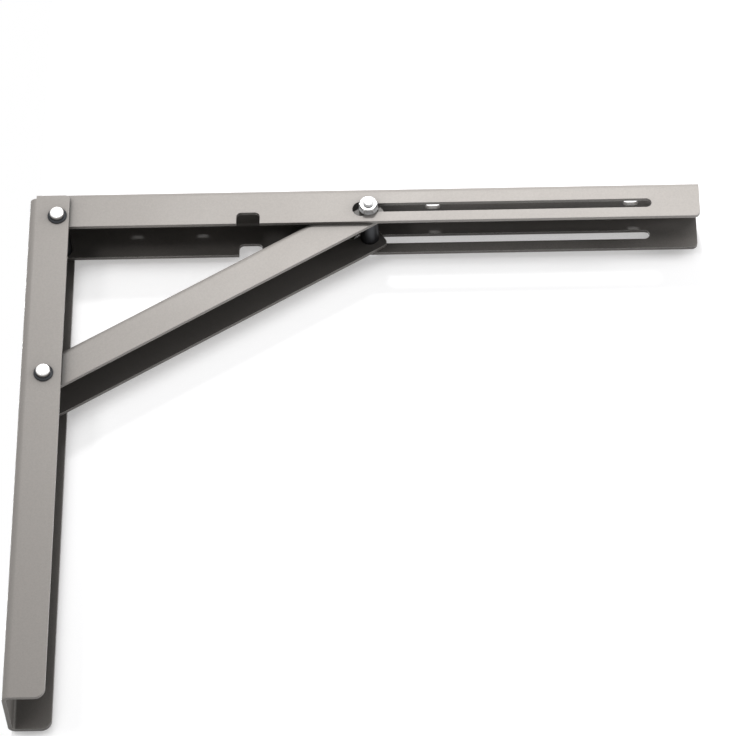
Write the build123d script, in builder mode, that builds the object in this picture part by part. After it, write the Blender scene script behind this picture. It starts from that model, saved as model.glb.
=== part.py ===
"""Folding shelf bracket: three nested folded-steel channels on two rivets and a sliding bolt.

Frame, millimetres: X points out from the wall, whose face is X = 0. Z points up. Y runs across the
bracket, with the mid-plane at Y = 0. The origin lies on the wall face, level with the arm's rivet.
The bracket stands open, with the shelf arm level.
"""

import os
from math import atan2, cos, hypot, pi, sin

from build123d import *

# Folded sheet, shared by the three channels
SHEET = 2.3
BEND_INSIDE = 2.0
BEND_OUTSIDE = BEND_INSIDE + SHEET
NEST_GAP = 0.3

# Widths, each channel nesting in the next
STRUT_WIDTH = 30.2
ARM_WIDTH = STRUT_WIDTH + 2 * (SHEET + NEST_GAP)
WALL_WIDTH = ARM_WIDTH + 2 * (SHEET + NEST_GAP)

# Pins and what sits on them
PIN_RADIUS = 3.0
PIN_FIT = 0.05
SLEEVE_RADIUS = 5.75
HEAD_RADIUS = 4.2
HEAD_HEIGHT = 2.9
HEAD_CHAMFER = 0.45
HEAD_WASHER_RADIUS = 5.7
HEAD_WASHER_THICKNESS = 1.3
HEAD_WASHER_RIM = 0.5
HEAD_WASHER_CREST_RADIUS = 4.55

# Pivots: the arm's rivet, the strut's rivet and the sliding bolt, as (X, Z)
ARM_PIVOT = (17.0, 0.0)
STRUT_PIVOT = (13.8, -111.3)
SLIDE_PIVOT = (202.7, 3.7)

# Wall channel
WALL_DEPTH = 24.0
WALL_LENGTH = 337.9
WALL_TOP = 15.0
WALL_BOTTOM = WALL_TOP - WALL_LENGTH
WALL_RELIEF_WIDTH = 4.0
WALL_RELIEF_HEIGHT = 2.1
WALL_TOP_CORNER = 3.0
WALL_BOTTOM_CORNER = 6.0
WALL_HOLES = (WALL_TOP - 49.0, WALL_TOP - 89.0, WALL_BOTTOM + 126.9, WALL_BOTTOM + 24.9)

# Shelf arm
ARM_START = 4.0
ARM_LENGTH = 396.0
ARM_END = ARM_START + ARM_LENGTH
ARM_TOP = 18.7
ARM_EDGE = -6.2
ARM_HEEL_RADIUS = ARM_PIVOT[0] - ARM_START
ARM_TOE_CORNER = 3.5
ARM_HOLES = (ARM_START + 57.7, ARM_START + 97.2, ARM_END - 159.0, ARM_END - 40.0)
SLOT_HEIGHT = 6.2
SLOT_MARGIN = 28.6
SLOT_END = ARM_END - SLOT_MARGIN
POCKET_RADIUS = 5.2
POCKET_CENTRE = (SLIDE_PIVOT[0] - 4.4, SLIDE_PIVOT[1] - 0.8)
NOTCH_START = ARM_PIVOT[0] - STRUT_PIVOT[1] - 4.5
NOTCH_END = NOTCH_START + 14.0
NOTCH_TOP = 1.7
NOTCH_CORNER = 3.0

# Strut, in its own axes: along the line from its rivet to the bolt, and across it
STRUT_WEB = 11.75
STRUT_EDGE = -10.0
STRUT_HEEL_WEB = -5.0
STRUT_TOE = 7.1
STRUT_WEB_STOP = 12.0
STRUT_TAB = 3.8
STRUT_EYE_RADIUS = 5.5
STRUT_CORNER = 3.0
SPACER_RADIUS = 4.0

# Screw holes, the same in the wall channel and the arm
HOLE_LENGTH = 9.0
HOLE_WIDTH = 5.5

# Sliding bolt
SLIDE_WASHER_RADIUS = 5.75
SLIDE_WASHER_THICKNESS = 1.2
NUT_FLATS = 10.0
NUT_HEIGHT = 3.4
HEX_CHAMFER = 0.5
HEX_FACE_INSET = 0.1
HEX_CORNER_MARGIN = 0.1
BOLT_END_LENGTH = 2.2
BOLT_END_CHAMFER = 0.35
BOLT_HEAD_HEIGHT = 4.0

# Lengths that follow from the sizes above
STRUT_LENGTH = hypot(SLIDE_PIVOT[0] - STRUT_PIVOT[0], SLIDE_PIVOT[1] - STRUT_PIVOT[1])
STRUT_ANGLE = atan2(SLIDE_PIVOT[1] - STRUT_PIVOT[1], SLIDE_PIVOT[0] - STRUT_PIVOT[0])
STRUT_ALONG = (cos(STRUT_ANGLE), 0, sin(STRUT_ANGLE))
HOLE_RADIUS = PIN_RADIUS + PIN_FIT
ARM_INSIDE = ARM_WIDTH - 2 * SHEET
STRUT_INSIDE = STRUT_WIDTH - 2 * SHEET
WALL_INSIDE = WALL_WIDTH - 2 * SHEET

os.makedirs("parts", exist_ok=True)


def channel_section(width, web, edge):
    """U-section open towards -y: outer web face at y = web, free edges at y = edge."""
    depth = web - edge
    with Locations((0, web - depth / 2 - BEND_OUTSIDE)):
        RectangleRounded(width, depth + 2 * BEND_OUTSIDE, BEND_OUTSIDE)
    with Locations((0, web - SHEET - depth / 2 - BEND_OUTSIDE)):
        RectangleRounded(width - 2 * SHEET, depth + 2 * BEND_OUTSIDE, BEND_INSIDE, mode=Mode.SUBTRACT)
    with Locations((0, edge - BEND_OUTSIDE)):
        Rectangle(width, 2 * BEND_OUTSIDE, mode=Mode.SUBTRACT)


def box_between(x_low, x_high, y_low, y_high, mode=Mode.ADD):
    """Rectangle given by its limits."""
    with Locations(((x_low + x_high) / 2, (y_low + y_high) / 2)):
        Rectangle(x_high - x_low, y_high - y_low, mode=mode)


def across(pivot, start):
    """Plane square to the pins, at a pivot and a distance across the bracket, facing +Y."""
    return Plane(origin=(pivot[0], start, pivot[1]), x_dir=(1, 0, 0), z_dir=(0, 1, 0))


def rod(pivot, start, length, radius, mode=Mode.ADD):
    """Solid round length of pin, from y = start to y = start + length."""
    with Locations((pivot[0], start + length / 2, pivot[1])):
        Cylinder(radius, length, rotation=(90, 0, 0), mode=mode)


def ring(pivot, start, length, radius, bore):
    """Tube or washer round a pin, from y = start to y = start + length."""
    rod(pivot, start, length, radius)
    rod(pivot, start, length, bore, Mode.SUBTRACT)


with BuildPart() as wall_channel:
    with BuildSketch(Plane(origin=(0, 0, WALL_BOTTOM), x_dir=(0, 1, 0), z_dir=(0, 0, 1))):
        channel_section(WALL_WIDTH, 0, -WALL_DEPTH)
    extrude(amount=WALL_TOP - WALL_BOTTOM)
    with BuildSketch(Plane.XZ) as wall_side:
        box_between(0, WALL_DEPTH, WALL_BOTTOM, WALL_TOP)
        fillet(wall_side.vertices().sort_by_distance((WALL_DEPTH, WALL_BOTTOM))[0], WALL_BOTTOM_CORNER)
        fillet(wall_side.vertices().sort_by_distance((WALL_DEPTH, WALL_TOP))[0], WALL_TOP_CORNER)
        box_between(0, WALL_RELIEF_WIDTH, WALL_TOP - WALL_RELIEF_HEIGHT, WALL_TOP, Mode.SUBTRACT)
        with Locations(ARM_PIVOT, STRUT_PIVOT):
            Circle(HOLE_RADIUS, mode=Mode.SUBTRACT)
    extrude(amount=WALL_WIDTH, both=True, mode=Mode.INTERSECT)
    with BuildSketch(Plane.YZ) as wall_holes:
        for hole_z in WALL_HOLES:
            with Locations((0, hole_z)):
                SlotOverall(HOLE_LENGTH, HOLE_WIDTH, rotation=90)
    extrude(amount=SHEET, mode=Mode.SUBTRACT)

with BuildPart() as shelf_arm:
    with BuildSketch(Plane(origin=(ARM_START, 0, 0), x_dir=(0, 1, 0), z_dir=(1, 0, 0))):
        channel_section(ARM_WIDTH, ARM_TOP, ARM_EDGE)
    extrude(amount=ARM_END - ARM_START)
    with BuildSketch(Plane.XZ) as arm_side:
        with Locations(ARM_PIVOT):
            Circle(ARM_HEEL_RADIUS)
        box_between(ARM_START, ARM_END, ARM_PIVOT[1], ARM_TOP)
        box_between(ARM_PIVOT[0], ARM_END, ARM_EDGE, ARM_PIVOT[1])
        box_between(0, ARM_END / 2, ARM_EDGE - ARM_HEEL_RADIUS, ARM_EDGE, Mode.SUBTRACT)
        fillet(arm_side.vertices().sort_by_distance((ARM_END, ARM_EDGE))[0], ARM_TOE_CORNER)
        notch_height = 2 * (NOTCH_TOP - ARM_EDGE)
        with Locations(((NOTCH_START + NOTCH_END) / 2, ARM_EDGE)):
            RectangleRounded(NOTCH_END - NOTCH_START, notch_height, NOTCH_CORNER, mode=Mode.SUBTRACT)
        with Locations(((POCKET_CENTRE[0] + SLOT_END - SLOT_HEIGHT / 2) / 2, SLIDE_PIVOT[1])):
            slot_centres = SLOT_END - SLOT_HEIGHT / 2 - POCKET_CENTRE[0]
            SlotCenterToCenter(slot_centres, SLOT_HEIGHT, mode=Mode.SUBTRACT)
        with Locations(POCKET_CENTRE):
            Circle(POCKET_RADIUS, mode=Mode.SUBTRACT)
        with Locations(ARM_PIVOT):
            Circle(HOLE_RADIUS, mode=Mode.SUBTRACT)
    extrude(amount=ARM_WIDTH, both=True, mode=Mode.INTERSECT)
    with BuildSketch(Plane.XY.offset(ARM_TOP - SHEET)):
        for hole_x in ARM_HOLES:
            with Locations((hole_x, 0)):
                SlotOverall(HOLE_LENGTH, HOLE_WIDTH)
    extrude(amount=SHEET, mode=Mode.SUBTRACT)

strut_origin = (STRUT_PIVOT[0], 0, STRUT_PIVOT[1])
with BuildPart() as strut:
    heel = Plane(origin=strut_origin, x_dir=(0, 1, 0), z_dir=STRUT_ALONG).offset(STRUT_EDGE)
    with BuildSketch(heel):
        channel_section(STRUT_WIDTH, STRUT_WEB, STRUT_EDGE)
    extrude(amount=STRUT_LENGTH + STRUT_TOE - STRUT_EDGE)
    with BuildSketch(Plane(origin=strut_origin, x_dir=STRUT_ALONG, z_dir=(0, -1, 0))) as strut_side:
        Circle(-STRUT_EDGE)
        box_between(STRUT_HEEL_WEB, STRUT_LENGTH - STRUT_WEB_STOP, 0, STRUT_WEB)
        box_between(0, STRUT_LENGTH + STRUT_TOE, STRUT_EDGE, STRUT_TAB)
        toe = STRUT_LENGTH + STRUT_TOE
        fillet(strut_side.vertices().sort_by_distance((toe, STRUT_TAB))[0], STRUT_CORNER)
        fillet(strut_side.vertices().sort_by_distance((toe, STRUT_EDGE))[0], STRUT_CORNER)
        web_stop = (STRUT_LENGTH - STRUT_WEB_STOP, STRUT_TAB)
        fillet(strut_side.vertices().sort_by_distance(web_stop)[0], STRUT_CORNER)
        with Locations((STRUT_LENGTH, 0)):
            Circle(STRUT_EYE_RADIUS)
        with Locations((0, 0), (STRUT_LENGTH, 0)):
            Circle(HOLE_RADIUS, mode=Mode.SUBTRACT)
    extrude(amount=STRUT_WIDTH, both=True, mode=Mode.INTERSECT)


def rivet(pivot):
    """Rivet through the wall channel: shank and its two formed heads, on the head washers."""
    head_seat = WALL_WIDTH / 2 + HEAD_WASHER_THICKNESS
    rod(pivot, -head_seat, 2 * head_seat, PIN_RADIUS)
    rod(pivot, head_seat, HEAD_HEIGHT, HEAD_RADIUS)
    rod(pivot, -head_seat - HEAD_HEIGHT, HEAD_HEIGHT, HEAD_RADIUS)


def head_washer(pivot, side):
    """Washer under a rivet's head, its face sloping to the rim; side is -1 near and 1 far."""
    seat = side * WALL_WIDTH / 2
    slope = HEAD_WASHER_THICKNESS - HEAD_WASHER_RIM
    rod(pivot, min(seat, seat + side * HEAD_WASHER_RIM), HEAD_WASHER_RIM, HEAD_WASHER_RADIUS)
    with Locations((pivot[0], seat + side * (HEAD_WASHER_RIM + slope / 2), pivot[1])):
        Cone(HEAD_WASHER_RADIUS, HEAD_WASHER_CREST_RADIUS, slope, rotation=(-90 * side, 0, 0))
    face = seat + side * HEAD_WASHER_THICKNESS
    rod(pivot, min(seat, face), HEAD_WASHER_THICKNESS, HOLE_RADIUS, Mode.SUBTRACT)


with BuildPart() as arm_pivot_rivet:
    rivet(ARM_PIVOT)
    head_faces = arm_pivot_rivet.faces().sort_by(Axis.Y)
    chamfer(head_faces[0].edges() + head_faces[-1].edges(), HEAD_CHAMFER)

with BuildPart() as strut_pivot_rivet:
    rivet(STRUT_PIVOT)
    head_faces = strut_pivot_rivet.faces().sort_by(Axis.Y)
    chamfer(head_faces[0].edges() + head_faces[-1].edges(), HEAD_CHAMFER)

with BuildPart() as arm_pivot_washer_near:
    head_washer(ARM_PIVOT, -1)

with BuildPart() as arm_pivot_washer_far:
    head_washer(ARM_PIVOT, 1)

with BuildPart() as strut_pivot_washer_near:
    head_washer(STRUT_PIVOT, -1)

with BuildPart() as strut_pivot_washer_far:
    head_washer(STRUT_PIVOT, 1)

with BuildPart() as arm_pivot_sleeve:
    ring(ARM_PIVOT, -ARM_INSIDE / 2, ARM_INSIDE, SLEEVE_RADIUS, HOLE_RADIUS)

with BuildPart() as strut_pivot_sleeve:
    ring(STRUT_PIVOT, -STRUT_INSIDE / 2, STRUT_INSIDE, SLEEVE_RADIUS, HOLE_RADIUS)

spacer_length = (WALL_INSIDE - STRUT_WIDTH) / 2 - NEST_GAP
with BuildPart() as strut_spacer_near:
    ring(STRUT_PIVOT, -WALL_INSIDE / 2, spacer_length, SPACER_RADIUS, HOLE_RADIUS)

with BuildPart() as strut_spacer_far:
    ring(STRUT_PIVOT, WALL_INSIDE / 2 - spacer_length, spacer_length, SPACER_RADIUS, HOLE_RADIUS)

with BuildPart() as strut_end_sleeve:
    ring(SLIDE_PIVOT, -STRUT_INSIDE / 2, STRUT_INSIDE, SLEEVE_RADIUS, HOLE_RADIUS)

with BuildPart() as strut_end_pin:
    rod(SLIDE_PIVOT, -STRUT_WIDTH / 2, STRUT_WIDTH, PIN_RADIUS)

arm_face = ARM_WIDTH / 2
nut_seat = arm_face + SLIDE_WASHER_THICKNESS
with BuildPart() as slide_washer_near:
    ring(SLIDE_PIVOT, -nut_seat, SLIDE_WASHER_THICKNESS, SLIDE_WASHER_RADIUS, HOLE_RADIUS)

with BuildPart() as slide_washer_far:
    ring(SLIDE_PIVOT, arm_face, SLIDE_WASHER_THICKNESS, SLIDE_WASHER_RADIUS, HOLE_RADIUS)


def hexagon(seat, tip):
    """Hexagon round the bolt's axis from its seat to its tip, where the corners are turned down."""
    away = 1 if tip > seat else -1
    corner_radius = NUT_FLATS / 2 / cos(pi / 6) + HEX_CORNER_MARGIN
    axis_plane = Plane(origin=(SLIDE_PIVOT[0], 0, SLIDE_PIVOT[1]), x_dir=(1, 0, 0), z_dir=(0, 0, 1))
    with BuildSketch(across(SLIDE_PIVOT, min(seat, tip))) as flats:
        RegularPolygon(NUT_FLATS / 2, 6, major_radius=False)
    extrude(flats.sketch, amount=abs(tip - seat))
    with BuildSketch(axis_plane) as turned:
        with BuildLine():
            Polyline(
                (0, seat),
                (corner_radius, seat),
                (corner_radius, tip - away * HEX_CHAMFER),
                (NUT_FLATS / 2 - HEX_FACE_INSET, tip),
                (0, tip),
                close=True,
            )
        make_face()
    bolt_axis = Axis((SLIDE_PIVOT[0], 0, SLIDE_PIVOT[1]), (0, 1, 0))
    revolve(turned.sketch, axis=bolt_axis, mode=Mode.INTERSECT)


with BuildPart() as slide_nut:
    hexagon(-nut_seat, -nut_seat - NUT_HEIGHT)
    rod(SLIDE_PIVOT, -nut_seat - NUT_HEIGHT, NUT_HEIGHT, HOLE_RADIUS, Mode.SUBTRACT)

with BuildPart() as slide_bolt_end:
    end_length = SHEET + SLIDE_WASHER_THICKNESS + NUT_HEIGHT + BOLT_END_LENGTH
    rod(SLIDE_PIVOT, -ARM_INSIDE / 2 - end_length, end_length, PIN_RADIUS)
    chamfer(slide_bolt_end.faces().sort_by(Axis.Y)[0].edges(), BOLT_END_CHAMFER)

with BuildPart() as slide_bolt_head:
    hexagon(nut_seat, nut_seat + BOLT_HEAD_HEIGHT)
    rod(SLIDE_PIVOT, ARM_INSIDE / 2, SHEET + SLIDE_WASHER_THICKNESS, PIN_RADIUS)

wall_channel.part.label = "wall_channel"
shelf_arm.part.label = "shelf_arm"
strut.part.label = "strut"
arm_pivot_rivet.part.label = "arm_pivot_rivet"
strut_pivot_rivet.part.label = "strut_pivot_rivet"
arm_pivot_washer_near.part.label = "arm_pivot_washer_near"
arm_pivot_washer_far.part.label = "arm_pivot_washer_far"
strut_pivot_washer_near.part.label = "strut_pivot_washer_near"
strut_pivot_washer_far.part.label = "strut_pivot_washer_far"
arm_pivot_sleeve.part.label = "arm_pivot_sleeve"
strut_pivot_sleeve.part.label = "strut_pivot_sleeve"
strut_spacer_near.part.label = "strut_spacer_near"
strut_spacer_far.part.label = "strut_spacer_far"
strut_end_sleeve.part.label = "strut_end_sleeve"
strut_end_pin.part.label = "strut_end_pin"
slide_washer_near.part.label = "slide_washer_near"
slide_washer_far.part.label = "slide_washer_far"
slide_nut.part.label = "slide_nut"
slide_bolt_end.part.label = "slide_bolt_end"
slide_bolt_head.part.label = "slide_bolt_head"

export_step(wall_channel.part, "parts/wall_channel.step")
export_step(shelf_arm.part, "parts/shelf_arm.step")
export_step(strut.part, "parts/strut.step")
export_step(arm_pivot_rivet.part, "parts/arm_pivot_rivet.step")
export_step(strut_pivot_rivet.part, "parts/strut_pivot_rivet.step")
export_step(arm_pivot_washer_near.part, "parts/arm_pivot_washer_near.step")
export_step(arm_pivot_washer_far.part, "parts/arm_pivot_washer_far.step")
export_step(strut_pivot_washer_near.part, "parts/strut_pivot_washer_near.step")
export_step(strut_pivot_washer_far.part, "parts/strut_pivot_washer_far.step")
export_step(arm_pivot_sleeve.part, "parts/arm_pivot_sleeve.step")
export_step(strut_pivot_sleeve.part, "parts/strut_pivot_sleeve.step")
export_step(strut_spacer_near.part, "parts/strut_spacer_near.step")
export_step(strut_spacer_far.part, "parts/strut_spacer_far.step")
export_step(strut_end_sleeve.part, "parts/strut_end_sleeve.step")
export_step(strut_end_pin.part, "parts/strut_end_pin.step")
export_step(slide_washer_near.part, "parts/slide_washer_near.step")
export_step(slide_washer_far.part, "parts/slide_washer_far.step")
export_step(slide_nut.part, "parts/slide_nut.step")
export_step(slide_bolt_end.part, "parts/slide_bolt_end.step")
export_step(slide_bolt_head.part, "parts/slide_bolt_head.step")
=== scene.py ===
import logging
import math
from dataclasses import dataclass
from enum import Enum

import bmesh
import bpy
from mathutils import Matrix, Vector


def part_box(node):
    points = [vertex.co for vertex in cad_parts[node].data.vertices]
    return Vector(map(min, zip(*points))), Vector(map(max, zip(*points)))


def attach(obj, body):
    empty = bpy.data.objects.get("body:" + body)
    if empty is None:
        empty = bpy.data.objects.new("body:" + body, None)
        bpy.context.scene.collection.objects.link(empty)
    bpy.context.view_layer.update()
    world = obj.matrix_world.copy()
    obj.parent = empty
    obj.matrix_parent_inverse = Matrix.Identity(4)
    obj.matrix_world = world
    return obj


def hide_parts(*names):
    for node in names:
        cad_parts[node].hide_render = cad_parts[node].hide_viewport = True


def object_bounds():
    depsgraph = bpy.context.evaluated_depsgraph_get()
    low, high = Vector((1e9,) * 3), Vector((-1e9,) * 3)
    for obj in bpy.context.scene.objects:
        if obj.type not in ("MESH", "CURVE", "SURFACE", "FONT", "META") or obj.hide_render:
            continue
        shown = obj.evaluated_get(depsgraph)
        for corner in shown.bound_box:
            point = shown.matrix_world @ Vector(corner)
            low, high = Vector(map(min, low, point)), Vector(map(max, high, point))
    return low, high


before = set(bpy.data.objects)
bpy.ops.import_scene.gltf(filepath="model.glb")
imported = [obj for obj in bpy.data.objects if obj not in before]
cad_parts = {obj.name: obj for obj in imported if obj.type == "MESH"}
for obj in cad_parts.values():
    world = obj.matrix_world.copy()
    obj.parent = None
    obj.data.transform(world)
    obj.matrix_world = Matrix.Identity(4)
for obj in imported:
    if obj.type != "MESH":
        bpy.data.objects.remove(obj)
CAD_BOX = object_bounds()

logging.basicConfig(level=logging.INFO, format="%(name)s: %(message)s")
LOG = logging.getLogger("shelf_bracket")

Triple = tuple[float, float, float]
Span = tuple[float, float]

WHITE = (1.0, 1.0, 1.0, 1.0)
NOISE_ROUGHNESS = 0.55
SHELTER_SAMPLES = 8
EDGE_SAMPLES = 6
BUMP_HEIGHT = 0.0001
SEAM_GAP = 0.000002
SHARP_EDGE = math.radians(32.0)


class Body(Enum):
    """The moving bodies that new pieces ride on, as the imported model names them."""

    WALL = "wall_body"
    BOLT = "bolt_body"


class Slot(Enum):
    """The record's material slots for the new pieces."""

    NICKEL_RIVET = "nickel_rivet"
    ZINC_HARDWARE = "zinc_hardware"


class NodeSketch:
    """Adds nodes to one node tree and joins them."""

    def __init__(self, tree: bpy.types.NodeTree) -> None:
        """Starts on an empty tree.

        Args:
            tree: the tree to fill; whatever it held is removed.
        """
        tree.nodes.clear()
        self.tree = tree

    def add(self, kind: str, **settings: object) -> bpy.types.Node:
        """Adds a node.

        Args:
            kind: the node's type name, such as ShaderNodeBump.
            settings: the node's own properties.

        Returns:
            The new node.
        """
        node = self.tree.nodes.new(kind)
        for name, value in settings.items():
            setattr(node, name, value)
        return node

    def feed(self, node: bpy.types.Node, **sources: object) -> bpy.types.Node:
        """Joins or sets a node's inputs.

        Args:
            node: the node to feed.
            sources: a socket to join or a value to set. Its name is the input's, with _ for a space, or _ and
                the input's number.

        Returns:
            The same node.
        """
        for name, source in sources.items():
            socket = node.inputs[int(name[1:])] if name[0] == "_" else node.inputs[name.replace("_", " ")]
            if isinstance(source, bpy.types.NodeSocket):
                self.tree.links.new(source, socket)
            else:
                socket.default_value = source
        return node

    def math(self, operation: str, first: object, second: object = 0.0) -> bpy.types.NodeSocket:
        """Joins two numbers by arithmetic.

        Args:
            operation: the Math node's operation.
            first: a socket or a number.
            second: a socket or a number.

        Returns:
            The result's socket.
        """
        node = self.add("ShaderNodeMath", operation=operation)
        return self.feed(node, _0=first, _1=second).outputs[0]

    def spread(self, value: bpy.types.NodeSocket, low: float, high: float,
               over: Span = (0.3, 0.7)) -> bpy.types.NodeSocket:
        """Maps a value onto a range, and holds it there.

        Args:
            value: the value's socket.
            low: the result at the start of the value's own range.
            high: the result at its end.
            over: the value's own range.

        Returns:
            The mapped value's socket.
        """
        node = self.add("ShaderNodeMapRange")
        return self.feed(node, Value=value, _1=over[0], _2=over[1], _3=low, _4=high).outputs[0]

    def likeness(self, first: object, second: object) -> bpy.types.NodeSocket:
        """How far two directions agree, from -1 to 1.

        Args:
            first: a direction, as a socket or a vector.
            second: the other one.

        Returns:
            Their dot product's socket.
        """
        node = self.add("ShaderNodeVectorMath", operation="DOT_PRODUCT")
        return self.feed(node, _0=first, _1=second).outputs["Value"]

    def seen(self, path: bpy.types.bpy_prop_collection) -> bpy.types.NodeSocket:
        """Tells a background that is seen from one that lights the bracket.

        Args:
            path: the outputs of a Light Path node.

        Returns:
            A socket that is 1 to the camera, in reflections and through glass, and 0 elsewhere.
        """
        reflected = self.math("MAXIMUM", path["Is Camera Ray"], path["Is Glossy Ray"])
        return self.math("MAXIMUM", reflected, path["Is Transmission Ray"])

    def noise(self, place: bpy.types.NodeSocket, scale: float, detail: float = 2.0) -> bpy.types.NodeSocket:
        """Smooth noise over the surface.

        Args:
            place: the coordinates that it follows.
            scale: lumps to a metre.
            detail: octaves.

        Returns:
            The noise's value, about 0 to 1.
        """
        node = self.add("ShaderNodeTexNoise")
        self.feed(node, Vector=place, Scale=scale, Detail=detail, Roughness=NOISE_ROUGHNESS)
        return node.outputs["Fac"]

    def toned(self, colour: Triple, tone: bpy.types.NodeSocket) -> bpy.types.NodeSocket:
        """A colour made darker or lighter from place to place.

        Args:
            colour: the plain colour.
            tone: the factor's socket.

        Returns:
            The toned colour's socket.
        """
        node = self.add("ShaderNodeVectorMath", operation="SCALE")
        return self.feed(node, _0=colour, Scale=tone).outputs[0]

    def openness(self, reach: float) -> bpy.types.NodeSocket:
        """How open the surface lies, from 0 deep in a hollow to 1 in the open.

        Args:
            reach: how far off, in metres, something still shelters it.

        Returns:
            The openness's socket.
        """
        node = self.add("ShaderNodeAmbientOcclusion", samples=SHELTER_SAMPLES)
        return self.feed(node, Distance=reach).outputs["AO"]

    def rounded(self, radius: float) -> bpy.types.NodeSocket:
        """The surface's normal, turned smoothly over each sharp edge.

        Args:
            radius: the edge's radius in metres.

        Returns:
            The normal's socket.
        """
        node = self.add("ShaderNodeBevel", samples=EDGE_SAMPLES)
        return self.feed(node, Radius=radius).outputs[0]

    def bumped(self, normal: bpy.types.NodeSocket, height: bpy.types.NodeSocket, strength: float
               ) -> bpy.types.NodeSocket:
        """A normal with fine bumps on it.

        Args:
            normal: the smooth normal's socket.
            height: the bumps' height, from 0 to 1.
            strength: how much they show.

        Returns:
            The bumped normal's socket.
        """
        node = self.add("ShaderNodeBump")
        self.feed(node, Strength=strength, Distance=BUMP_HEIGHT, Height=height, Normal=normal)
        return node.outputs[0]


def start_finish(name: str) -> tuple[bpy.types.Material, NodeSketch]:
    """Starts a material on an empty node tree.

    Args:
        name: the material's name.

    Returns:
        The material and the sketch that fills it.
    """
    material = bpy.data.materials.new(name)
    material.use_nodes = True
    return material, NodeSketch(material.node_tree)


def add_object(name: str, data: bpy.types.ID) -> bpy.types.Object:
    """Puts a new object in the scene.

    Args:
        name: the object's name.
        data: its mesh, lamp or lens.

    Returns:
        The object, at the origin.
    """
    thing = bpy.data.objects.new(name, data)
    bpy.context.scene.collection.objects.link(thing)
    return thing


@dataclass(frozen=True)
class PaintedSheetFinish:
    """Satin metallic paint on pressed steel: fine grain, faint clouding and lighter edges, the edges a
    painted highlight.

    Deep in a channel it is darker, as painted shade, and less metallic.
    """

    name: str
    colour: Triple = (0.462, 0.432, 0.405)
    cloud_scale: float = 22.0
    cloud_tones: Span = (0.97, 1.03)
    flake_scale: float = 1100.0
    flake_tones: Span = (0.955, 1.045)
    # The next colour and strength paint a highlight along the sheet's sharp edges.
    edge_highlight_colour: Triple = (0.86, 0.84, 0.81)
    edge_radius: float = 0.0005
    edge_turn: Span = (0.80, 0.995)
    edge_highlight_strength: float = 0.9
    metallic: float = 0.10
    # The next four settings paint shade deep in the channels: darker and less metallic where the surface lies
    # sheltered.
    sheltered_metallic: float = 0.0
    painted_shade_level: float = 0.30
    shelter_reach: float = 0.048
    shelter_range: Span = (0.52, 0.95)
    roughness: float = 0.52
    roughness_swing: float = 0.03
    peel_scale: float = 900.0
    peel_strength: float = 0.18

    def make(self) -> bpy.types.Material:
        """Builds the paint.

        Returns:
            The finished material.
        """
        material, sketch = start_finish(self.name)
        place = sketch.add("ShaderNodeTexCoord").outputs["Object"]
        clouds = sketch.noise(place, self.cloud_scale, 3.0)
        flakes = sketch.noise(place, self.flake_scale)
        open_air = sketch.openness(self.shelter_reach)
        # Painted shade: the paint is darkened where the surface lies deep in a channel.
        painted_shade = sketch.spread(open_air, self.painted_shade_level, 1.0, self.shelter_range)
        grain = sketch.math("MULTIPLY", sketch.spread(clouds, *self.cloud_tones),
                            sketch.spread(flakes, *self.flake_tones))

        normal = sketch.rounded(self.edge_radius)
        turned = sketch.likeness(normal, sketch.add("ShaderNodeNewGeometry").outputs["Normal"])
        # Painted highlight: the colour is lightened along sharp edges.
        edge = sketch.spread(turned, 1.0, 0.0, self.edge_turn)
        paint = sketch.add("ShaderNodeMix", data_type="RGBA")
        sketch.feed(paint, Factor=sketch.math("MULTIPLY", edge, self.edge_highlight_strength))
        body = sketch.toned(self.colour, sketch.math("MULTIPLY", grain, painted_shade))
        sketch.tree.links.new(body, paint.inputs["A"])
        paint.inputs["B"].default_value = (*self.edge_highlight_colour, 1.0)

        shader = sketch.add("ShaderNodeBsdfPrincipled")
        sketch.feed(shader, IOR=1.5,
                    Normal=sketch.bumped(normal, sketch.noise(place, self.peel_scale), self.peel_strength),
                    Metallic=sketch.spread(open_air, self.sheltered_metallic, self.metallic,
                                           self.shelter_range),
                    Roughness=sketch.spread(clouds, self.roughness - self.roughness_swing,
                                            self.roughness + self.roughness_swing))
        sketch.tree.links.new(paint.outputs["Result"], shader.inputs["Base Color"])
        sketch.feed(sketch.add("ShaderNodeOutputMaterial"), Surface=shader.outputs[0])
        return material


@dataclass(frozen=True)
class TurnedMetalFinish:
    """Plated metal, turned or pressed, faintly mottled, with painted shade where pieces meet."""

    name: str
    colour: Triple
    roughness: float
    grain_strength: float
    mottling: float
    metallic: float = 1.0
    # The next three settings paint shade into the plating where pieces meet.
    painted_shade_level: float = 0.25
    shelter_reach: float = 0.005
    shelter_range: Span = (0.40, 0.90)
    mottle_scale: float = 420.0
    grain_scale: float = 1500.0
    edge_radius: float = 0.00025
    smoothest: float = 0.92
    roughest: float = 1.10

    def make(self) -> bpy.types.Material:
        """Builds the plating.

        Returns:
            The finished material.
        """
        material, sketch = start_finish(self.name)
        place = sketch.add("ShaderNodeTexCoord").outputs["Object"]
        mottle = sketch.noise(place, self.mottle_scale, 3.0)
        open_air = sketch.openness(self.shelter_reach)
        # Painted shade: the plating is darkened in the creases between pieces.
        painted_shade = sketch.spread(open_air, self.painted_shade_level, 1.0, self.shelter_range)
        tone = sketch.math("MULTIPLY", sketch.spread(mottle, 1.0 - self.mottling, 1.0), painted_shade)
        grain = sketch.noise(place, self.grain_scale)

        shader = sketch.add("ShaderNodeBsdfPrincipled")
        sketch.feed(shader, Metallic=self.metallic,
                    Normal=sketch.bumped(sketch.rounded(self.edge_radius), grain, self.grain_strength),
                    Roughness=sketch.spread(mottle, self.roughness * self.smoothest,
                                            self.roughness * self.roughest))
        sketch.tree.links.new(sketch.toned(self.colour, tone), shader.inputs["Base Color"])
        sketch.feed(sketch.add("ShaderNodeOutputMaterial"), Surface=shader.outputs[0])
        return material


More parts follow.
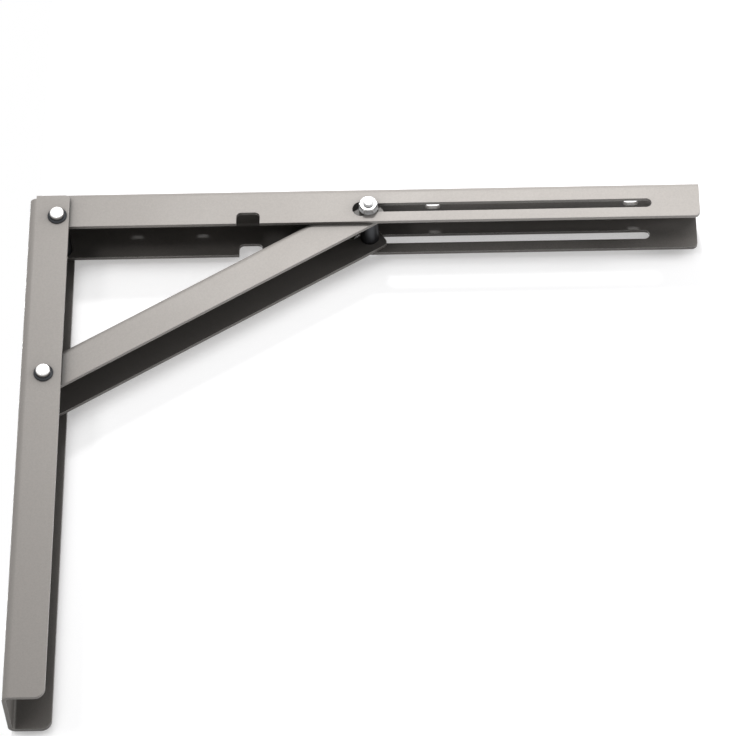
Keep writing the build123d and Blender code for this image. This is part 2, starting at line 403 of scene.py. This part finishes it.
class Coat(Enum):
    """The finishes that the bracket wears."""

    PAINT = "satin_champagne_paint"
    NICKEL = "polished_nickel"
    # This near-black zinc is painted shade for the washers and sleeves that lie in shade.
    DARK_ZINC = "zinc_dark_as_shade"
    LIGHT_ZINC = "light_zinc"


@dataclass(frozen=True)
class Finishes:
    """Every finish on the bracket."""

    paint: PaintedSheetFinish = PaintedSheetFinish(Coat.PAINT.value)
    nickel: TurnedMetalFinish = TurnedMetalFinish(
        Coat.NICKEL.value, (0.85, 0.84, 0.83), roughness=0.30, grain_strength=0.05, mottling=0.05)
    # Nearly black: painted shade on the pieces that lie in shade, not a real finish.
    dark_zinc: TurnedMetalFinish = TurnedMetalFinish(
        Coat.DARK_ZINC.value, (0.060, 0.062, 0.067), roughness=0.40, grain_strength=0.10, mottling=0.10)
    light_zinc: TurnedMetalFinish = TurnedMetalFinish(
        Coat.LIGHT_ZINC.value, (0.68, 0.68, 0.68), roughness=0.36, grain_strength=0.12, mottling=0.08,
        metallic=0.55, painted_shade_level=0.9)

    def make(self) -> dict[Coat, bpy.types.Material]:
        """Builds each finish once.

        Returns:
            The materials by coat.
        """
        makers = (self.paint, self.nickel, self.dark_zinc, self.light_zinc)
        return {coat: maker.make() for coat, maker in zip(Coat, makers)}


@dataclass
class PackedMetal:
    """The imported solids, dressed in their finishes."""

    channels: tuple[str, ...] = ("wall_channel", "shelf_arm", "strut")
    rivets: tuple[str, ...] = ("arm_pivot_rivet", "strut_pivot_rivet")
    slide_parts: tuple[str, ...] = ("slide_nut", "slide_bolt_end", "slide_bolt_head",
                                    "slide_washer_near", "slide_washer_far")

    def coat_of(self, node: str) -> Coat:
        """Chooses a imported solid's coat.

        Args:
            node: the solid's node.

        Returns:
            The coat that it wears.
        """
        if node in self.channels:
            return Coat.PAINT
        if node in self.rivets:
            return Coat.NICKEL
        return Coat.LIGHT_ZINC if node in self.slide_parts else Coat.DARK_ZINC

    def dress(self, finishes: dict[Coat, bpy.types.Material]) -> None:
        """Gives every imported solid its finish.

        Args:
            finishes: the materials by coat.
        """
        for name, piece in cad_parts.items():
            finish = finishes[self.coat_of(name)]
            piece.data.materials.clear()
            piece.data.materials.append(finish)
            LOG.info("%s wears %s", name, finish.name)


class MeshTree:
    """A geometry tree with named inputs that makes one plain mesh piece."""

    def __init__(self, name: str, **inputs: str) -> None:
        """Starts the tree.

        Args:
            name: the tree's name.
            inputs: each input's socket type by name, with _ for a space.
        """
        self.tree = bpy.data.node_groups.new(name, "GeometryNodeTree")
        interface = self.tree.interface
        interface.new_socket(name="Geometry", in_out="INPUT", socket_type="NodeSocketGeometry")
        self.sockets = {
            label: interface.new_socket(
                name=label.replace("_", " "), in_out="INPUT", socket_type=f"NodeSocket{kind}").identifier
            for label, kind in {**inputs, "Finish": "Material"}.items()
        }
        interface.new_socket(name="Geometry", in_out="OUTPUT", socket_type="NodeSocketGeometry")
        self.sketch = NodeSketch(self.tree)
        self.given = self.sketch.add("NodeGroupInput").outputs

    def tube_of(self, rows: bpy.types.NodeSocket, steps: bpy.types.NodeSocket
                ) -> tuple[bpy.types.NodeSocket, bpy.types.NodeSocket, bpy.types.NodeSocket]:
        """Lays out a sheet of points to be rolled into a tube.

        Args:
            rows: how many rows of points run along the axis.
            steps: how many points go round it.

        Returns:
            The sheet, each point's turn from 0 to 1, and its row.
        """
        sketch = self.sketch
        sheet = sketch.add("GeometryNodeMeshGrid")
        sketch.feed(sheet, Size_X=1.0, Size_Y=1.0, Vertices_X=sketch.math("ADD", steps, 1.0), Vertices_Y=rows)
        flat = sketch.add("ShaderNodeSeparateXYZ")
        sketch.feed(flat, Vector=sketch.add("GeometryNodeInputPosition").outputs[0])
        turn = sketch.math("ADD", flat.outputs["X"], 0.5)
        along = sketch.math("ADD", flat.outputs["Y"], 0.5)
        row = sketch.math("ROUND", sketch.math("MULTIPLY", along, sketch.math("SUBTRACT", rows, 1.0)))
        return sheet.outputs["Mesh"], turn, row

    def roll(self, sheet: bpy.types.NodeSocket, turn: bpy.types.NodeSocket, radius: bpy.types.NodeSocket,
             height: bpy.types.NodeSocket) -> bpy.types.NodeSocket:
        """Rolls a sheet round the Y axis and closes its seam and poles.

        Args:
            sheet: the sheet of points.
            turn: each point's turn, from 0 to 1.
            radius: each point's distance from the axis.
            height: each point's place along Y.

        Returns:
            The closed mesh's socket.
        """
        sketch = self.sketch
        angle = sketch.math("MULTIPLY", turn, math.tau)
        place = sketch.add("ShaderNodeCombineXYZ")
        sketch.feed(place, X=sketch.math("MULTIPLY", radius, sketch.math("COSINE", angle)), Y=height,
                    Z=sketch.math("MULTIPLY", radius, sketch.math("SINE", angle)))
        rolled = sketch.add("GeometryNodeSetPosition")
        sketch.feed(rolled, Geometry=sheet, Position=place.outputs[0])
        closed = sketch.add("GeometryNodeMergeByDistance")
        return sketch.feed(closed, Geometry=rolled.outputs[0], Distance=SEAM_GAP).outputs[0]

    def finish_at(self, shape: bpy.types.NodeSocket, *places: bpy.types.NodeSocket) -> None:
        """Ends the tree with a finished copy of the shape at each place.

        Args:
            shape: the shape's socket.
            places: the places as sockets.
        """
        sketch = self.sketch
        spots = sketch.add("GeometryNodeJoinGeometry")
        for place in places:
            spot = sketch.add("GeometryNodePoints")
            sketch.feed(spot, Count=1, Position=place)
            sketch.tree.links.new(spot.outputs[0], spots.inputs[0])
        copies = sketch.add("GeometryNodeInstanceOnPoints")
        sketch.feed(copies, Points=spots.outputs[0], Instance=shape)
        real = sketch.add("GeometryNodeRealizeInstances")
        sketch.feed(real, Geometry=copies.outputs[0])
        smooth = sketch.add("GeometryNodeSetShadeSmooth")
        sketch.feed(smooth, Geometry=real.outputs[0], Shade_Smooth=True)
        coated = sketch.add("GeometryNodeSetMaterial")
        sketch.feed(coated, Geometry=smooth.outputs[0], Material=self.given["Finish"])
        sketch.feed(sketch.add("NodeGroupOutput"), Geometry=coated.outputs[0])

    def piece(self, name: str, start: bpy.types.Mesh, finish: bpy.types.Material, **values: object
              ) -> bpy.types.Object:
        """Runs the tree and keeps its result as a plain mesh.

        Args:
            name: the piece's name.
            start: the mesh that the tree is given.
            finish: the piece's material.
            values: the inputs' values by name, with _ for a space.

        Returns:
            The new piece, at the origin.
        """
        holder = add_object(name + "_tree", start)
        modifier = holder.modifiers.new("tree", "NODES")
        modifier.node_group = self.tree
        for label, value in {**values, "Finish": finish}.items():
            modifier[self.sockets[label]] = value
        bpy.context.view_layer.update()
        made = holder.evaluated_get(bpy.context.evaluated_depsgraph_get())
        mesh = bpy.data.meshes.new_from_object(made)
        holder.modifiers.remove(modifier)
        bpy.data.objects.remove(holder)
        mesh.name = name
        turn_outwards(mesh)
        LOG.info("%s made: %d faces", name, len(mesh.polygons))
        return add_object(name, mesh)


def turn_outwards(mesh: bpy.types.Mesh) -> None:
    """Points every face outwards and keeps sharp edges crisp.

    Args:
        mesh: the closed mesh to put right.
    """
    shape = bmesh.new()
    shape.from_mesh(mesh)
    bmesh.ops.recalc_face_normals(shape, faces=shape.faces)
    shape.to_mesh(mesh)
    shape.free()
    mesh.set_sharp_from_angle(angle=SHARP_EDGE)


def middle_of(node: str) -> Vector:
    """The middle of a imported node's box."""
    low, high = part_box(node)
    return (Vector(low) + Vector(high)) / 2


def size_of(node: str) -> Vector:
    """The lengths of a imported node's box."""
    low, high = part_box(node)
    return Vector(high) - Vector(low)


def seat(piece: bpy.types.Object, body: Body, slot: Slot, *nodes: str) -> None:
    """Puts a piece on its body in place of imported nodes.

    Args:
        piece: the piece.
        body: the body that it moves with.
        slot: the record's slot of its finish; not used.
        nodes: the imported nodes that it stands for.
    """
    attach(piece, body.value)
    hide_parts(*nodes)


@dataclass
class PivotRivets:
    """The two rivets that the arm and the strut turn on, headed over at both ends."""

    nodes: tuple[str, str] = ("arm_pivot_rivet", "strut_pivot_rivet")
    head_height: float = 0.0029
    shank_radius: float = 0.0030
    edge_radius: float = 0.00080
    edge_steps: int = 6
    crown: float = 0.00008
    crown_rings: tuple[float, ...] = (0.35, 0.55, 0.75, 0.9)
    dimple_radius: float = 0.0009
    dimple_depth: float = 0.00022
    dimple_lip: float = 0.00001
    dimple_rings: tuple[float, ...] = (0.4, 0.7, 0.9, 1.0)
    steps: int = 72

    def half_profile(self) -> list[tuple[float, float]]:
        """The outline of one end, from its middle out and in to the shank.

        Returns:
            Radius and distance from the rivet's middle, in metres.
        """
        box = size_of(self.nodes[0])
        radius, tip = box.x / 2, box.y / 2
        rim = radius - self.edge_radius
        head_seat = tip - self.head_height
        points = [(0.0, tip - self.dimple_depth)]
        points += [(self.dimple_radius * part, tip - self.dimple_depth * (1 - part ** 3) - self.dimple_lip)
                   for part in self.dimple_rings]
        points += [(rim * part, tip - self.crown * part ** 2) for part in self.crown_rings]
        for step in range(self.edge_steps + 1):
            turn = math.pi / 2 * step / self.edge_steps
            points.append((rim + self.edge_radius * math.sin(turn),
                           tip - self.crown - self.edge_radius * (1 - math.cos(turn))))
        return points + [(radius, head_seat), (self.shank_radius, head_seat)]

    def start_mesh(self) -> bpy.types.Mesh:
        """Draws the whole outline as a line of points.

        Returns:
            The line, with its radius in x and its height in y.
        """
        half = self.half_profile()
        outline = [(radius, -height, 0.0) for radius, height in half]
        outline += [(radius, height, 0.0) for radius, height in reversed(half)]
        mesh = bpy.data.meshes.new("rivet_outline")
        mesh.from_pydata(outline, [(at, at + 1) for at in range(len(outline) - 1)], [])
        return mesh

    def tree(self) -> MeshTree:
        """Builds the tree that turns the outline about its axis and sets it at both pivots.

        Returns:
            The tree, ready to run.
        """
        made = MeshTree("turned_rivets", Steps="Int", Rows="Int", First_pivot="Vector", Second_pivot="Vector")
        sketch, given = made.sketch, made.given
        sheet, turn, row = made.tube_of(given["Rows"], given["Steps"])
        looked_up = sketch.add("GeometryNodeSampleIndex", data_type="FLOAT_VECTOR", domain="POINT")
        sketch.feed(looked_up, Geometry=given["Geometry"], Index=row,
                    Value=sketch.add("GeometryNodeInputPosition").outputs[0])
        outline = sketch.add("ShaderNodeSeparateXYZ")
        sketch.feed(outline, Vector=looked_up.outputs[0])
        shape = made.roll(sheet, turn, outline.outputs["X"], outline.outputs["Y"])
        made.finish_at(shape, given["First pivot"], given["Second pivot"])
        return made

    def build(self, finishes: dict[Coat, bpy.types.Material]) -> bpy.types.Object:
        """Makes both rivets as one piece on the wall channel.

        Args:
            finishes: the materials by coat.

        Returns:
            The piece.
        """
        outline = self.start_mesh()
        rows = len(outline.vertices)
        piece = self.tree().piece("pivot_rivets", outline, finishes[Coat.NICKEL], Steps=self.steps, Rows=rows,
                                  First_pivot=middle_of(self.nodes[0]), Second_pivot=middle_of(self.nodes[1]))
        seat(piece, Body.WALL, Slot.NICKEL_RIVET, *self.nodes)
        return piece


@dataclass
class ThreadedBoltEnd:
    """The slide bolt's threaded end, which stands out of its nut on the near side."""

    node: str = "slide_bolt_end"
    pitch: float = 0.0010
    thread_depth: float = 0.00055
    groove_flank: Span = (0.06, 0.46)
    tip_chamfer: float = 0.00040
    steps: int = 60
    rows: int = 130

    def tree(self) -> MeshTree:
        """Builds the tree that rolls a sheet into a rod and cuts a right-hand thread in it.

        The first and the last row of points lie on the rod's axis and close its ends.

        Returns:
            The tree, ready to run.
        """
        made = MeshTree("threaded_rod", Radius="Float", Length="Float", Pitch="Float", Thread_depth="Float",
                        Tip_chamfer="Float", Steps="Int", Rows="Int", Middle="Vector")
        sketch, given = made.sketch, made.given
        length = given["Length"]
        sheet, turn, row = made.tube_of(given["Rows"], given["Steps"])

        last = sketch.math("SUBTRACT", given["Rows"], 1.0)
        inner = sketch.math("DIVIDE", sketch.math("SUBTRACT", row, 1.0), sketch.math("SUBTRACT", last, 2.0))
        part = sketch.math("MINIMUM", sketch.math("MAXIMUM", inner, 0.0), 1.0)
        from_seat = sketch.math("MULTIPLY", part, length)

        turns = sketch.math("ADD", sketch.math("DIVIDE", from_seat, given["Pitch"]), turn)
        groove = sketch.spread(sketch.math("PINGPONG", turns, 0.5), 0.0, 1.0, self.groove_flank)
        cut = sketch.math("MULTIPLY", groove, given["Thread depth"])
        chamfer = sketch.math("ADD", sketch.math("SUBTRACT", given["Tip chamfer"], length), from_seat)
        worn = sketch.math("MAXIMUM", sketch.math("MAXIMUM", chamfer, 0.0), cut)

        walled = sketch.math("MULTIPLY", sketch.math("GREATER_THAN", row, 0.5),
                             sketch.math("LESS_THAN", row, sketch.math("SUBTRACT", last, 0.5)))
        radius = sketch.math("MULTIPLY", sketch.math("SUBTRACT", given["Radius"], worn), walled)
        height = sketch.math("SUBTRACT", sketch.math("MULTIPLY", length, 0.5), from_seat)
        made.finish_at(made.roll(sheet, turn, radius, height), given["Middle"])
        return made

    def build(self, finishes: dict[Coat, bpy.types.Material]) -> bpy.types.Object:
        """Makes the threaded end on the sliding bolt.

        Args:
            finishes: the materials by coat.

        Returns:
            The piece.
        """
        box = size_of(self.node)
        piece = self.tree().piece(
            "threaded_bolt_end", bpy.data.meshes.new("threaded_rod_start"), finishes[Coat.LIGHT_ZINC],
            Radius=box.x / 2, Length=box.y, Pitch=self.pitch, Thread_depth=self.thread_depth,
            Tip_chamfer=self.tip_chamfer, Steps=self.steps, Rows=self.rows, Middle=middle_of(self.node))
        seat(piece, Body.BOLT, Slot.ZINC_HARDWARE, self.node)
        return piece


def hang_lamp(name: str, lamp: bpy.types.Light, place: Triple, aim: Triple) -> bpy.types.Object:
    """Hangs a lamp, unseen by the camera.

    Args:
        name: the lamp's name.
        lamp: the lamp itself.
        place: where it hangs.
        aim: the point that it looks at.

    Returns:
        The lamp's object.
    """
    holder = add_object(name, lamp)
    towards = Vector(aim) - Vector(place)
    turn = towards.to_track_quat("-Z", "Y").to_matrix().to_4x4()
    holder.matrix_world = Matrix.Translation(place) @ turn
    holder.visible_camera = False
    return holder


@dataclass(frozen=True)
class Softbox:
    """A square lamp that looks at the bracket."""

    name: str
    place: Triple
    size: float
    power: float
    mirrored: bool = True
    aim: Triple = (0.18, 0.0, -0.08)

    def hang(self) -> bpy.types.Object:
        """Puts the lamp up.

        Returns:
            The lamp's object.
        """
        lamp = bpy.data.lights.new(self.name, "AREA")
        lamp.shape = "SQUARE"
        lamp.size = self.size
        lamp.energy = self.power
        holder = hang_lamp(self.name, lamp, self.place, self.aim)
        holder.visible_glossy = self.mirrored
        return holder


@dataclass(frozen=True)
class Spotlight:
    """A spotlight whose soft cone fades away from where it aims."""

    name: str
    place: Triple
    aim: Triple
    power: float
    cone: float
    bulb_radius: float

    def hang(self) -> bpy.types.Object:
        """Puts the lamp up.

        Returns:
            The lamp's object.
        """
        lamp = bpy.data.lights.new(self.name, "SPOT")
        lamp.energy = self.power
        lamp.spot_size = self.cone
        lamp.spot_blend = 1.0
        lamp.shadow_soft_size = self.bulb_radius
        return hang_lamp(self.name, lamp, self.place, self.aim)


@dataclass
class Studio:
    """The pale table behind the bracket, the room round it, the lamps and the camera."""

    camera_place: Triple = (0.24939, -1.79602, -1.25531)
    camera_aim: Triple = (0.20171, 0.0, -0.09868)
    camera_roll: float = math.radians(-0.162)
    lens: float = 178.46
    sensor_width: float = 36.0
    camera_reach: float = 50.0
    table_reach: float = 6.0
    table_left: float = 0.001
    table_gap: float = 0.0004
    table_colour: Triple = (0.64, 0.64, 0.65)
    table_glow: float = 0.73
    contact_reach: float = 0.024
    contact_shade: float = 0.35
    contact_range: Span = (0.35, 0.85)
    room_side: Triple = (0.45, -0.20, 0.87)
    room_levels: Span = (0.10, 0.46)
    room_range: Span = (-0.5, 0.9)
    lamps: tuple[Softbox | Spotlight, ...] = (
        Spotlight("key_spotlight", (0.08, -2.50, 1.50), aim=(0.44, 0.0, 0.13), power=214.0,
                  cone=math.radians(25.5), bulb_radius=0.20),
        Softbox("right_softbox", (1.05, -0.52, 0.11), size=0.2, power=1.3),
        Softbox("left_softbox", (-0.80, -1.33, 0.78), size=0.6, power=0.10),
        Softbox("low_left_softbox", (-0.55, -1.45, -0.34), size=0.25, power=3.0, mirrored=False),
        Softbox("rear_softbox", (-0.35, 1.70, 0.80), size=1.2, power=70.0),
    )

    def set_camera(self) -> bpy.types.Object:
        """Puts up the camera.

        Returns:
            The camera's object.
        """
        lens = bpy.data.cameras.new("camera")
        lens.lens = self.lens
        lens.sensor_width = self.sensor_width
        lens.clip_end = self.camera_reach
        camera = add_object("camera", lens)
        ahead = (Vector(self.camera_aim) - Vector(self.camera_place)).normalized()
        level = ahead.cross(Vector((0, 0, 1))).normalized()
        upright = level.cross(ahead)
        right = level * math.cos(self.camera_roll) + upright * math.sin(self.camera_roll)
        turn = Matrix((right, right.cross(ahead), -ahead)).transposed()
        camera.matrix_world = Matrix.Translation(self.camera_place) @ turn.to_4x4()
        bpy.context.scene.camera = camera
        return camera

    def lay_table(self) -> bpy.types.Object:
        """Lays the table against the bracket's far side.

        Returns:
            The table's object.
        """
        far = CAD_BOX[1].y + self.table_gap
        left, reach = self.table_left, self.table_reach
        corners = [(left, far, -reach), (reach, far, -reach), (reach, far, reach), (left, far, reach)]
        mesh = bpy.data.meshes.new("table")
        mesh.from_pydata(corners, [], [(0, 1, 2, 3)])
        mesh.materials.append(self.table_finish())
        table = add_object("table", mesh)
        return table

    def table_finish(self) -> bpy.types.Material:
        """Makes a matt white that lets lamps through and is clear from behind, with a painted contact shadow
        darkening its glow near the bracket.

        Returns:
            The table's material.
        """
        material, sketch = start_finish("white_table")
        path = sketch.add("ShaderNodeLightPath").outputs
        open_air = sketch.openness(self.contact_reach)
        # Painted shadow: the glow is darkened where the table lies close under the bracket.
        painted_contact_shadow = sketch.spread(open_air, self.contact_shade, 1.0, self.contact_range)
        glow_level = sketch.math("MULTIPLY", painted_contact_shadow, self.table_glow)
        matt = sketch.add("ShaderNodeBsdfDiffuse")
        sketch.feed(matt, Color=(*self.table_colour, 1.0))
        glow = sketch.add("ShaderNodeEmission")
        sketch.feed(glow, Color=WHITE, Strength=sketch.math("MULTIPLY", sketch.seen(path), glow_level))
        front = sketch.add("ShaderNodeAddShader")
        sketch.feed(front, _0=matt.outputs[0], _1=glow.outputs[0])

        behind = sketch.add("ShaderNodeNewGeometry").outputs["Backfacing"]
        clear = sketch.add("ShaderNodeBsdfTransparent")
        side = sketch.add("ShaderNodeMixShader")
        sketch.feed(side, _0=sketch.math("MAXIMUM", behind, path["Is Shadow Ray"]),
                    _1=front.outputs[0], _2=clear.outputs[0])
        sketch.feed(sketch.add("ShaderNodeOutputMaterial"), Surface=side.outputs[0])
        return material

    def light_room(self) -> None:
        """Makes the room: white as a background and in reflections, and dimmer as a light."""
        world = bpy.data.worlds.new("room")
        world.use_nodes = True
        bpy.context.scene.world = world
        sketch = NodeSketch(world.node_tree)
        seen = sketch.seen(sketch.add("ShaderNodeLightPath").outputs)
        towards = sketch.add("ShaderNodeTexCoord").outputs["Generated"]
        facing = sketch.likeness(towards, Vector(self.room_side).normalized())
        ambient = sketch.spread(facing, *self.room_levels, self.room_range)
        room = sketch.add("ShaderNodeBackground")
        sketch.feed(room, Color=WHITE, Strength=sketch.math("MAXIMUM", seen, ambient))
        sketch.feed(sketch.add("ShaderNodeOutputWorld"), Surface=room.outputs[0])

    def build(self) -> None:
        """Sets up everything that isn't part of the bracket."""
        bpy.context.scene.view_settings.view_transform = "Standard"
        self.set_camera()
        self.lay_table()
        self.light_room()
        for lamp in self.lamps:
            lamp.hang()
            LOG.info("%s up", lamp.name)


def main() -> None:
    """Builds the studio and dresses the bracket."""
    Studio().build()
    finishes = Finishes().make()
    PackedMetal().dress(finishes)
    PivotRivets().build(finishes)
    ThreadedBoltEnd().build(finishes)


if __name__ == "__main__":
    main()
